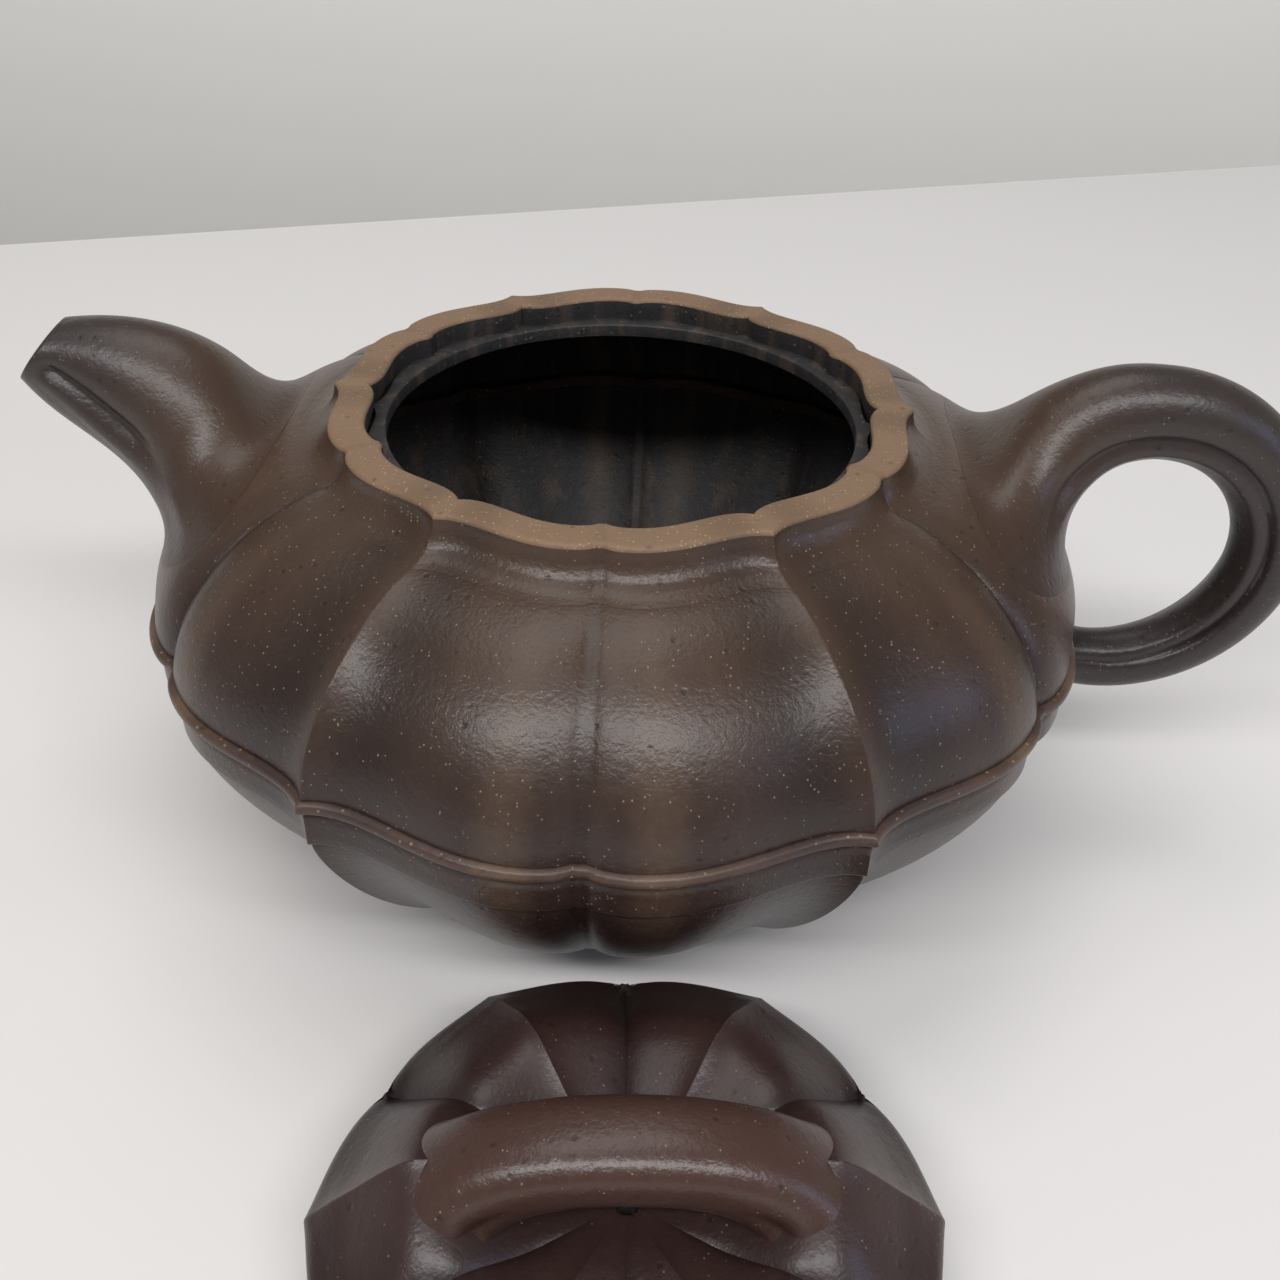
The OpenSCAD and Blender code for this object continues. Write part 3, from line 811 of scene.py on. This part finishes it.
@dataclass
class LidShells:
    """The lid: a plump lobed dome, the ring that enters the mouth, and the strap over it."""

    radius: float = 31.15
    base_z: float = 8
    edge_z: float = 9.6
    dome_h: float = 5
    dome_p: float = 2.1
    wall: float = 3
    hollow_r: float = 26.6
    ring_r: float = 28.8
    vent_r: float = 1.1
    plump: float = 0.9
    crown: float = 3.4
    crown_at: float = 0.64
    crown_width: float = 0.21
    dip: float = 1.4
    dip_width: float = 0.3
    relief: float = 0.72
    root_h: float = 2.6
    root_at: float = 18.5
    root_long: float = 6.5
    root_wide: float = 9.5
    half_w: float = 17.5
    crown_z: float = 21.8
    strap_t: float = 7.8
    strap_w: float = 10
    sides: int = 56
    rows: int = 90
    at: tuple[float, float] = (6.5, -79.23)
    turn: float = 3.9

    def place(self) -> Matrix:
        """Where the lid's own axes lie, with the lid put down in front of the pot."""
        return Matrix.Translation((self.at[0], self.at[1], 0)) @ Matrix.Rotation(math.radians(self.turn), 4, "Z")

    def top(self, share: np.ndarray) -> np.ndarray:
        """Height of the plain dome at each share of its radius: a plump crown round a low middle."""
        crown = self.crown * np.exp(-(((share - self.crown_at) / self.crown_width) ** 2))
        crown = crown - self.dip * np.exp(-((share / self.dip_width) ** 2))
        return self.edge_z + self.dome_h * bulge(share, self.dome_p) + crown * smooth(share, 1.0, 0.9)

    def dome(self) -> bmesh.types.BMesh:
        """The dome with its lobes, which gather at the middle, its hollow and its air hole."""
        share = np.linspace(1, 0, 400)
        curve = np.stack([self.radius * share, self.top(share)], axis=1)
        curve = resample(curve[curve[:, 0] > self.vent_r + 0.5], 66)
        rise = np.clip(curve[:, 0] / self.radius, 0, 1)
        outer = np.column_stack([curve, self.relief * np.sqrt(rise)])
        base = np.array([(self.radius - cut, self.base_z + up, self.relief) for cut, up in (
            (0.5, 0), (0.15, 0.1), (0, 0.5), (0, 1))])
        roof = self.edge_z + self.dome_h - self.wall
        vent = [(self.vent_r, float(self.top(np.array([0.04]))[0]) - 0.3, 0), (self.vent_r, roof, 0)]
        inner = np.array(vent + [(self.hollow_r * c, self.base_z + (roof - self.base_z) * h, 0) for c, h in (
            (0.25, 1), (0.4, 0.93), (0.55, 0.82), (0.8, 0.5), (0.93, 0.2), (1, 0))])
        bm = Lobed(np.concatenate([base, outer, inner])).build(lambda azimuth, _: PETALS.fold(azimuth))
        p = coords(bm)
        layer = bm.verts.layers.float["tone"]
        radius = np.hypot(p[:, 0], p[:, 1]) / self.radius
        upper = p[:, 2] > self.edge_z + 0.4
        upper &= p[:, 2] > self.top(np.clip(radius, 0, 1)) - 1.4
        lift = self.plump * PETALS.fold(azimuth_of(p)) * smooth(radius, 0.05, 0.55) * smooth(radius, 1.02, 0.86)
        off = ((np.abs(p[:, 0]) - self.root_at) / self.root_long) ** 2
        root = self.root_h * np.exp(-off - (p[:, 1] / self.root_wide) ** 2) * smooth(radius, 1.0, 0.8)
        p[:, 2] += np.where(upper, lift + root, 0)
        put(bm, p, np.array([v[layer] for v in bm.verts]))
        return bm

    def ring(self) -> bmesh.types.BMesh:
        """The ring under the dome, with softened edges."""
        wall = self.ring_r - self.hollow_r
        rows = [(self.ring_r - wall, self.base_z), (self.ring_r, self.base_z), (self.ring_r, 0.6),
                (self.ring_r - 0.18, 0.18), (self.ring_r - 0.6, 0), (self.hollow_r + 0.6, 0),
                (self.hollow_r + 0.18, 0.18), (self.hollow_r, 0.6)]
        return Lobed(np.array([(radius, z, 0) for radius, z in rows], float)).build()

    def strap(self) -> bmesh.types.BMesh:
        """The strap from one side of the dome to the other, broad at its roots."""
        a = np.linspace(176, 4, self.rows)
        c = np.abs(np.cos(np.radians(a)))
        bow = 0.85
        x = self.half_w * np.sign(np.cos(np.radians(a))) * c**bow
        rise = self.crown_z - self.edge_z
        z = self.crown_z - rise * (1 - np.sin(np.radians(a)) ** bow)
        slope = np.radians((a - 90) * 0.8)
        high = self.strap_t / 2 + 1.7 * c**3
        wide = self.strap_w / 2 + 1.6 * c**4
        b = np.radians(np.linspace(-180, 180, self.sides, endpoint=False))
        round_c, round_s = np.cos(b), np.sin(b)
        corner = 2.5
        square = (np.abs(round_c) ** corner + np.abs(round_s) ** corner) ** (-1 / corner)
        h = high[:, None] * (round_c * square)[None, :]
        w = wide[:, None] * (round_s * square)[None, :]
        dent = 0.07 * np.exp(-(((np.abs(np.degrees(b)) - 97) / 9) ** 2))[None, :] * smooth(c, 0.5, 0.85)[:, None]
        h, w = h * (1 - dent), w * (1 - 2.2 * dent)
        places = np.stack([
            x[:, None] - h * np.sin(slope)[:, None], w, z[:, None] + h * np.cos(slope)[:, None]], axis=2)
        floor_z = self.top(np.clip(np.hypot(places[..., 0], places[..., 1]) / self.radius, 0, 1))
        height = places[..., 2] - floor_z
        spread = 1.4 * np.exp(-np.clip(height, 0, None) / 1.6) * smooth(c, 0.75, 0.98)[:, None]
        middle = np.stack([x, 0 * x, z], axis=1)[:, None, :]
        away = places - middle
        away[..., 2] = 0
        away /= np.linalg.norm(away, axis=2, keepdims=True) + 1e-6
        places = places + away * spread[..., None]
        # The strap's side dents get painted shade.
        return skin(places, CREASE_PAINTED_SHADE * dent)


# ---------------------------------------------------------------- finishes


class Graph:
    """The nodes of one material."""

    def __init__(self, name: str) -> None:
        """Makes an empty material with this name."""
        self.material = bpy.data.materials.new(name)
        self.material.use_nodes = True
        self.tree = self.material.node_tree
        self.tree.nodes.clear()

    def node(self, kind: str, settings: dict | None = None, **sockets: object) -> bpy.types.Node:
        """Makes one node.

        Args:
            kind: The node's type.
            settings: Its settings, which are set before its sockets.
            **sockets: Values or links by the socket's name, with _ for a space, or by i and its number.

        Returns:
            The node.
        """
        made = self.tree.nodes.new(kind)
        for key, value in (settings or {}).items():
            setattr(made, key, value)
        for key, value in sockets.items():
            numbered = key[0] == "i" and key[1:].isdigit()
            socket = made.inputs[int(key[1:]) if numbered else key.replace("_", " ")]
            if isinstance(value, Value):
                self.tree.links.new(value.socket, socket)
            elif isinstance(value, bpy.types.NodeSocket):
                self.tree.links.new(value, socket)
            else:
                socket.default_value = value
        return made


class Value:
    """A number socket that takes part in Python expressions."""

    def __init__(self, graph: Graph, socket: bpy.types.NodeSocket) -> None:
        """Wraps a socket of a graph."""
        self.graph, self.socket = graph, socket

    def maths(self, operation: str, *others: "Value | float", clamp: bool = False) -> "Value":
        """Adds a Math node.

        Args:
            operation: The node's operation.
            *others: The numbers or values that follow this one.
            clamp: True holds the result between 0 and 1.

        Returns:
            The result.
        """
        inputs = {f"i{n + 1}": other for n, other in enumerate(others)}
        made = self.graph.node("ShaderNodeMath", {"operation": operation, "use_clamp": clamp}, i0=self, **inputs)
        return Value(self.graph, made.outputs[0])

    def __add__(self, other: "Value | float") -> "Value":
        """The sum."""
        return self.maths("ADD", other)

    def __radd__(self, other: float) -> "Value":
        """The sum, with the number first."""
        return self.maths("ADD", other)

    def __sub__(self, other: "Value | float") -> "Value":
        """The difference."""
        return self.maths("SUBTRACT", other)

    def __rsub__(self, other: float) -> "Value":
        """A number less this value."""
        return self.maths("MULTIPLY_ADD", -1.0, other)

    def __mul__(self, other: "Value | float") -> "Value":
        """The product."""
        return self.maths("MULTIPLY", other)

    def __rmul__(self, other: float) -> "Value":
        """The product, with the number first."""
        return self.maths("MULTIPLY", other)

    def held(self) -> "Value":
        """This value held between 0 and 1."""
        return self.maths("ADD", 0.0, clamp=True)

    def step(self, low: float, high: float) -> "Value":
        """A soft step from 0 at low to 1 at high."""
        made = self.graph.node(
            "ShaderNodeMapRange", {"interpolation_type": "SMOOTHSTEP"},
            Value=self, From_Min=low, From_Max=high, To_Min=0.0, To_Max=1.0)
        return Value(self.graph, made.outputs["Result"])


Colour = tuple[float, float, float, float]


def linear(red: int, green: int, blue: int) -> Colour:
    """A shown colour, 0 to 255, as light."""
    parts = [(c / 255 / 12.92) if c <= 10 else ((c / 255 + 0.055) / 1.055) ** 2.4 for c in (red, green, blue)]
    return (parts[0], parts[1], parts[2], 1.0)


def deeper(colour: Colour, *shares: float) -> Colour:
    """A colour with each part dimmed to its own share."""
    red, green, blue = (part * share for part, share in zip(colour, shares))
    return (red, green, blue, 1.0)


@dataclass(frozen=True)
class ClayFinish:
    """One finish of the fired clay: its tones, grain, grit and polish."""

    name: str
    dark: Colour
    light: Colour
    # lit_top: the lighter, warmer tone that the clay turns to higher up, painted light from above.
    lit_top: Colour
    worn: Colour = linear(150, 122, 96)
    grit: Colour = linear(196, 168, 124)
    rough: float = 0.42
    rough_spread: float = 0.12
    grain: float = 0.35
    pit: float = 0.35
    specks: float = 0.35
    speck_size: float = 0.4
    speck_show: float = 0.4
    wear: float = 0.35
    # Painted shade in grooves and creases, by the depth that the tone holds.
    groove_painted_shade: float = 0.5
    coat: float = 0.0
    coat_rough: float = 0.25
    streaks: float = 0.0
    # Heights, in metres, over which the painted light of the lit-top tone comes in.
    lit_top_from: float = 0.030
    lit_top_to: float = 0.062
    specular: float = 0.5
    # root: tones close to the pot, for the roots of the spout and handle: dark, light, and a lit-top tone of painted
    # light.
    root: tuple[Colour, Colour, Colour] | None = None

    def mixed(self, g: Graph, share: Value, low: object, high: object) -> bpy.types.NodeSocket:
        """Mixes two colours by a share."""
        made = g.node("ShaderNodeMix", {"data_type": "RGBA"}, i0=share, i6=low, i7=high)
        return made.outputs[2]

    def material(self) -> bpy.types.Material:
        """Makes the material.

        Returns:
            A material with uneven tone, grain, pale grit, wear on edges, painted shade in grooves and creases, and
            painted light towards the top.
        """
        g = Graph(self.name)
        place = g.node("ShaderNodeTexCoord").outputs["Object"]
        split = g.node("ShaderNodeSeparateXYZ", None, Vector=place)
        height = Value(g, split.outputs["Z"])
        tone = Value(g, g.node("ShaderNodeAttribute", {"attribute_name": "tone"}).outputs["Fac"])

        def noise(scale: float, detail: float, rough: float = 0.55, vector: object = place) -> Value:
            """A noise value at one scale."""
            made = g.node("ShaderNodeTexNoise", None, Vector=vector, Scale=scale, Detail=detail, Roughness=rough)
            return Value(g, made.outputs["Fac"])

        cloud, patch, grain, fine = noise(26, 4), noise(90, 3), noise(850, 3, 0.65), noise(2400, 2)
        cells = g.node("ShaderNodeTexVoronoi", {"feature": "F1"}, Vector=place, Scale=1100 / self.speck_size * 0.55)
        distance = Value(g, cells.outputs["Distance"])
        pick = Value(g, g.node("ShaderNodeSeparateColor", None, Color=cells.outputs["Color"]).outputs[0])
        speck = (1 - distance.step(0.16, 0.34)) * pick.step(1 - 0.5 * self.specks, 1.02 - 0.5 * self.specks + 0.05)
        pits = g.node("ShaderNodeTexVoronoi", {"feature": "F1"}, Vector=place, Scale=620.0)
        pit_pick = Value(g, g.node("ShaderNodeSeparateColor", None, Color=pits.outputs["Color"]).outputs[1])
        pit = (1 - Value(g, pits.outputs["Distance"]).step(0.08, 0.3)) * pit_pick.step(0.8, 0.85)

        uneven = ((cloud - 0.5) * 1.5 + (patch - 0.5) * 0.7 + (grain - 0.5) * 0.9 + 0.5).held()
        # Painted light: higher up, the clay turns to its lit-top tone, spread a little by random cloud.
        lit_top = (height.step(self.lit_top_from, self.lit_top_to) * 0.75 + (cloud - 0.5) * 0.5).held()
        colour = self.mixed(g, lit_top, self.mixed(g, uneven, self.dark, self.light), self.lit_top)
        if self.root:
            dark, light, high = self.root
            # The root's third tone, high, is its lit-top tone of painted light.
            near = self.mixed(g, lit_top, self.mixed(g, uneven, dark, light), high)
            east, north = Value(g, split.outputs["X"]), Value(g, split.outputs["Y"])
            out = (east * east + north * north) * 1000
            colour = self.mixed(g, out.step(2.3, 4.4), near, colour)
        if self.streaks:
            stretched = g.node("ShaderNodeMapping", None, Vector=place, Scale=(1.0, 1.0, 0.06)).outputs[0]
            streak = noise(330, 3, 0.6, stretched).step(0.46, 0.7) * self.streaks
            colour = self.mixed(g, streak, colour, self.worn)
        # Painted shade: grooves and creases darken by their depth.
        groove = (tone * (-self.groove_painted_shade) - 0.1).held()
        colour = self.mixed(g, groove, colour, deeper(self.dark, 0.45, 0.42, 0.42))
        edge = (tone.step(0.35, 1.0) * (0.35 + grain) * self.wear).held()
        colour = self.mixed(g, edge, colour, self.worn)
        colour = self.mixed(g, (speck * (0.35 + patch) * self.speck_show).held(), colour, self.grit)
        colour = self.mixed(g, (pit * 0.5).held(), colour, deeper(self.dark, 0.5, 0.5, 0.5))

        rough = (self.rough + (cloud - 0.5) * self.rough_spread + (grain - 0.5) * self.rough_spread * 1.6
                 + speck * 0.08 - edge * 0.1).held()
        relief = (grain - 0.5) * 0.6 + (fine - 0.5) * 0.35 + speck * 0.25 - pit * self.pit
        bump = g.node("ShaderNodeBump", None, Height=relief, Strength=self.grain, Distance=0.00028)
        shader = g.node(
            "ShaderNodeBsdfPrincipled", None, Base_Color=colour, Roughness=rough, Normal=bump.outputs[0],
            Specular_IOR_Level=self.specular, Coat_Weight=self.coat, Coat_Roughness=self.coat_rough, IOR=1.5)
        g.node("ShaderNodeOutputMaterial", None, Surface=shader.outputs[0])
        return g.material


# Dark, light and lit-top tones of the body clay; the lit-top tone is painted light on the upper shoulder.
BODY_TONES = (linear(40, 28, 26), linear(58, 42, 37), linear(80, 60, 46))
BODY_CLAY = ClayFinish(
    "clay_body_finish", *BODY_TONES, rough=0.34, rough_spread=0.06, grain=0.42, speck_size=0.25, specks=0.25,
    lit_top_from=0.036, lit_top_to=0.06)
BEAD_CLAY = ClayFinish("clay_bead_finish", linear(58, 42, 36), linear(86, 65, 54), linear(100, 76, 60), wear=0.6)
LIP_CLAY = ClayFinish(
    "clay_lip_finish", linear(104, 80, 60), linear(138, 110, 84), linear(134, 107, 82), rough=0.6, specks=0.6,
    speck_size=0.3, speck_show=0.5, grain=0.8, grit=linear(214, 184, 132), wear=0.2)
INSIDE_CLAY = ClayFinish(
    "clay_inside_finish", linear(28, 26, 26), linear(46, 40, 38), linear(38, 36, 37), rough=0.6, streaks=0.14,
    grain=0.6, speck_show=0.2, lit_top_from=0.01, lit_top_to=0.06)
POLISHED_CLAY = ClayFinish(
    "clay_polished_finish", linear(38, 31, 30), linear(54, 45, 43), linear(58, 49, 46), rough=0.36, grain=0.4,
    specks=0.2, speck_size=0.25, speck_show=0.3, wear=0.15, lit_top_from=0.036, lit_top_to=0.06, root=BODY_TONES)
LID_CLAY = ClayFinish(
    "clay_lid_finish", linear(38, 25, 24), linear(58, 40, 37), linear(62, 43, 39), rough=0.36, grain=0.35,
    specks=0.12, speck_size=0.25, coat=0.1, lit_top_from=0.006, lit_top_to=0.02)
KNOB_CLAY = ClayFinish(
    "clay_knob_finish", linear(48, 31, 28), linear(72, 49, 42), linear(76, 52, 44), rough=0.32, grain=0.45,
    specks=0.15, speck_size=0.25, coat=0.15, lit_top_from=0.01, lit_top_to=0.025)
FOOT_CLAY = ClayFinish(
    "clay_foot_finish", linear(50, 38, 34), linear(84, 66, 55), linear(50, 38, 34), rough=0.62, grain=0.7,
    lit_top_from=0.05, lit_top_to=0.06)
INSIDE_REACH = 0.058  # inner faces lie nearer to the axis, in metres
LIP_BASE = 0.0604  # height at which the lip's own finish starts, in metres


# ---------------------------------------------------------------- assemblies


@dataclass
class Teapot:
    """The whole pot and its lid."""

    shells: PotShells = field(default_factory=PotShells)
    lid: LidShells = field(default_factory=LidShells)
    spout: Spout = field(default_factory=Spout)
    handle: Handle = field(default_factory=Handle)

    def build_pot(self) -> None:
        """Builds and dresses the pieces of the pot."""
        body, bead, lip = BODY_CLAY.material(), BEAD_CLAY.material(), LIP_CLAY.material()
        inside, polished, foot = INSIDE_CLAY.material(), POLISHED_CLAY.material(), FOOT_CLAY.material()
        shoulder = self.shells.shoulder(self.spout, self.handle)
        upper = add_piece("pot_shoulder", shoulder, Body.POT, body, ("upper_shell",))
        line_walls(upper, inside)
        add_piece("pot_bead", self.shells.bead(), Body.POT, bead, ("waist_bead",))
        lower = add_piece("pot_bowl", self.shells.bowl(self.handle), Body.POT, body, ("lower_shell",))
        line_walls(lower, inside)
        ring = add_piece("pot_lip", self.shells.lip(), Body.POT, lip, ("mouth_ring",))
        dress_neck(ring, body, inside)
        add_piece("pot_seat", self.shells.seat(), Body.POT, inside, ("lid_seat",))
        add_piece("pot_foot", self.shells.foot(), Body.POT, foot, ("foot_ring",))
        add_piece("pot_spout", self.spout.build(), Body.POT, polished, ("spout",))
        add_piece("pot_handle", self.handle.build(), Body.POT, polished, ("handle",))
        for name in ("floor_disc", "strainer"):
            redress(name, inside)

    def build_lid(self) -> None:
        """Builds and dresses the pieces of the lid."""
        dome, knob = LID_CLAY.material(), KNOB_CLAY.material()
        place = self.lid.place()
        add_piece("lid_dome_skin", self.lid.dome(), Body.LID, dome, ("lid_dome",), place)
        add_piece("lid_ring", self.lid.ring(), Body.LID, FOOT_CLAY.material(), ("lid_flange",), place)
        add_piece("lid_strap", self.lid.strap(), Body.LID, knob, ("bridge_knob",), place)


def line_walls(piece: bpy.types.Object, material: bpy.types.Material) -> None:
    """Gives a shell's inner faces their own finish.

    Args:
        piece: The shell.
        material: The finish of the inner faces.
    """
    piece.data.materials.append(material)
    for polygon in piece.data.polygons:
        x, y, _ = polygon.center
        away = polygon.normal.x * x + polygon.normal.y * y
        if away < 0 and math.hypot(x, y) < INSIDE_REACH:
            polygon.material_index = 1


def dress_neck(piece: bpy.types.Object, outer: bpy.types.Material, inner: bpy.types.Material) -> None:
    """Leaves only the flat lip in its own finish.

    Args:
        piece: The neck with its lip.
        outer: The finish of the neck's outer side.
        inner: The finish of its inner side.
    """
    for material in (outer, inner):
        piece.data.materials.append(material)
    for polygon in piece.data.polygons:
        x, y, z = polygon.center
        if z < LIP_BASE:
            polygon.material_index = 1 if polygon.normal.x * x + polygon.normal.y * y > 0 else 2


def redress(node: str, material: bpy.types.Material) -> None:
    """Gives a node of the frame that stays in view its material."""
    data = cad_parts[node].data
    data.materials.clear()
    data.materials.append(material)
    LOG.info("%s: kept, with the finish %s", node, material.name)


# ---------------------------------------------------------------- studio


@dataclass
class Studio:
    """Floor, backdrop, lights and camera, in metres."""

    eye: tuple[float, float, float] = (0.00877, -0.15355, 0.13377)
    tilt: float = 35.65
    yaw: float = -2.09
    roll: float = 1.78
    lens: float = 37.82
    edge_left: tuple[float, float] = (-0.1865, 0.2057)
    edge_right: tuple[float, float] = (0.2099, 0.3379)
    floor_reach: float = 1.6
    wall_reach: float = 1.9
    wall_h: float = 2.2
    segments: int = 96

    def plain(self, name: str, colour: Colour, rough: float) -> bpy.types.Material:
        """A pale, slightly uneven stage material.

        Args:
            name: The material's name.
            colour: Its tone.
            rough: Its roughness.

        Returns:
            The material.
        """
        g = Graph(name)
        place = g.node("ShaderNodeTexCoord").outputs["Object"]
        made = g.node("ShaderNodeTexNoise", None, Vector=place, Scale=9.0, Detail=3.0)
        share = (Value(g, made.outputs["Fac"]) * 0.06).held()
        tone = g.node("ShaderNodeMix", {"data_type": "RGBA"}, i0=share, i6=colour, i7=(0.5, 0.48, 0.46, 1)).outputs[2]
        shader = g.node("ShaderNodeBsdfPrincipled", None, Base_Color=tone, Roughness=rough)
        g.node("ShaderNodeOutputMaterial", None, Surface=shader.outputs[0])
        return g.material

    def stage_piece(self, name: str, bm: bmesh.types.BMesh, material: bpy.types.Material) -> None:
        """Adds a piece of the stage."""
        mesh = bpy.data.meshes.new(name)
        bm.to_mesh(mesh)
        bm.free()
        mesh.materials.append(material)
        made = bpy.data.objects.new(name, mesh)
        bpy.context.scene.collection.objects.link(made)

    def floor(self) -> None:
        """The table top, which ends behind the pot."""
        bm = bmesh.new()
        bmesh.ops.create_circle(bm, cap_ends=True, radius=self.floor_reach, segments=self.segments)
        a, b = Vector((*self.edge_left, 0)), Vector((*self.edge_right, 0))
        along = (b - a).normalized()
        out = Vector((-along.y, along.x, 0))
        bmesh.ops.bisect_plane(
            bm, geom=bm.verts[:] + bm.edges[:] + bm.faces[:], plane_co=a, plane_no=out, clear_outer=True)
        self.stage_piece("table", bm, self.plain("table_finish", linear(236, 232, 229), 0.55))

    def backdrop(self) -> None:
        """The far wall, all round the table."""
        bm = bmesh.new()
        bmesh.ops.create_cone(
            bm, cap_ends=False, radius1=self.wall_reach, radius2=self.wall_reach, depth=self.wall_h,
            segments=self.segments)
        bmesh.ops.translate(bm, verts=bm.verts, vec=(0, 0, -0.2))
        for face in bm.faces:
            face.smooth = True
        self.stage_piece("wall", bm, self.plain("wall_finish", linear(222, 220, 217), 0.9))

    def lamp(
        self, name: str, at: tuple[float, float, float], aim: tuple[float, float, float],
        size: tuple[float, float], power: float, colour: tuple[float, float, float],
    ) -> None:
        """A soft rectangular lamp.

        Args:
            name: The lamp's name.
            at: Its place.
            aim: The point that it faces.
            size: Its two sides.
            power: Its power in watts.
            colour: The colour of its light.
        """
        data = bpy.data.lights.new(name, "AREA")
        data.shape, data.size, data.size_y = "RECTANGLE", size[0], size[1]
        data.energy, data.color = power, colour
        made = bpy.data.objects.new(name, data)
        made.location = at
        made.rotation_euler = (Vector(aim) - Vector(at)).to_track_quat("-Z", "Y").to_euler()
        bpy.context.scene.collection.objects.link(made)

    def lights(self) -> None:
        """A long key lamp in front, soft light above, a weak blue one at the side, a lit wall and a pale sky."""
        self.lamp("key", (0.0, -0.60, 0.84), (0, -0.02, 0.03), (1.5, 0.13), 9.0, (0.98, 0.99, 1.0))
        self.lamp("top", (-0.1, 0.15, 1.0), (0, 0, 0.03), (0.8, 0.5), 2.6, (1.0, 0.99, 0.97))
        self.lamp("side", (0.9, -0.35, 0.35), (0, 0, 0.04), (0.3, 0.3), 0.8, (0.5, 0.65, 1.0))
        self.lamp("wash", (0, 0.9, 0.5), (0.05, 1.9, -0.4), (1.8, 0.5), 13.0, (1.0, 0.99, 0.98))
        world = bpy.data.worlds.new("sky")
        bpy.context.scene.world = world
        world.use_nodes = True
        ground = world.node_tree.nodes["Background"]
        ground.inputs[0].default_value = (0.95, 0.97, 1.0, 1)
        ground.inputs[1].default_value = 0.2

    def camera(self) -> None:
        """The camera, above the lid and turned a little."""
        data = bpy.data.cameras.new("view")
        data.lens, data.sensor_width = self.lens, 36
        data.clip_start, data.clip_end = 0.01, 20
        made = bpy.data.objects.new("view", data)
        dip, turn, lean = math.radians(self.tilt), math.radians(self.yaw), math.radians(self.roll)
        ahead = Vector((math.sin(turn) * math.cos(dip), math.cos(turn) * math.cos(dip), -math.sin(dip)))
        right = Vector((math.cos(turn), -math.sin(turn), 0))
        up = right.cross(ahead)
        across = right * math.cos(lean) + up * math.sin(lean)
        upward = up * math.cos(lean) - right * math.sin(lean)
        basis = Matrix((across, upward, -ahead)).transposed().to_4x4()
        made.matrix_world = Matrix.Translation(self.eye) @ basis
        bpy.context.scene.collection.objects.link(made)
        bpy.context.scene.camera = made

    def build(self) -> None:
        """Sets up the whole studio."""
        self.floor()
        self.backdrop()
        self.lights()
        self.camera()
        bpy.context.scene.view_settings.view_transform = "Standard"


def main() -> None:
    """Builds the studio, the pot and the lid in order."""
    logging.basicConfig(level=logging.INFO, format="%(name)s: %(message)s")
    Studio().build()
    teapot = Teapot()
    teapot.build_pot()
    teapot.build_lid()


if __name__ == "__main__":
    main()
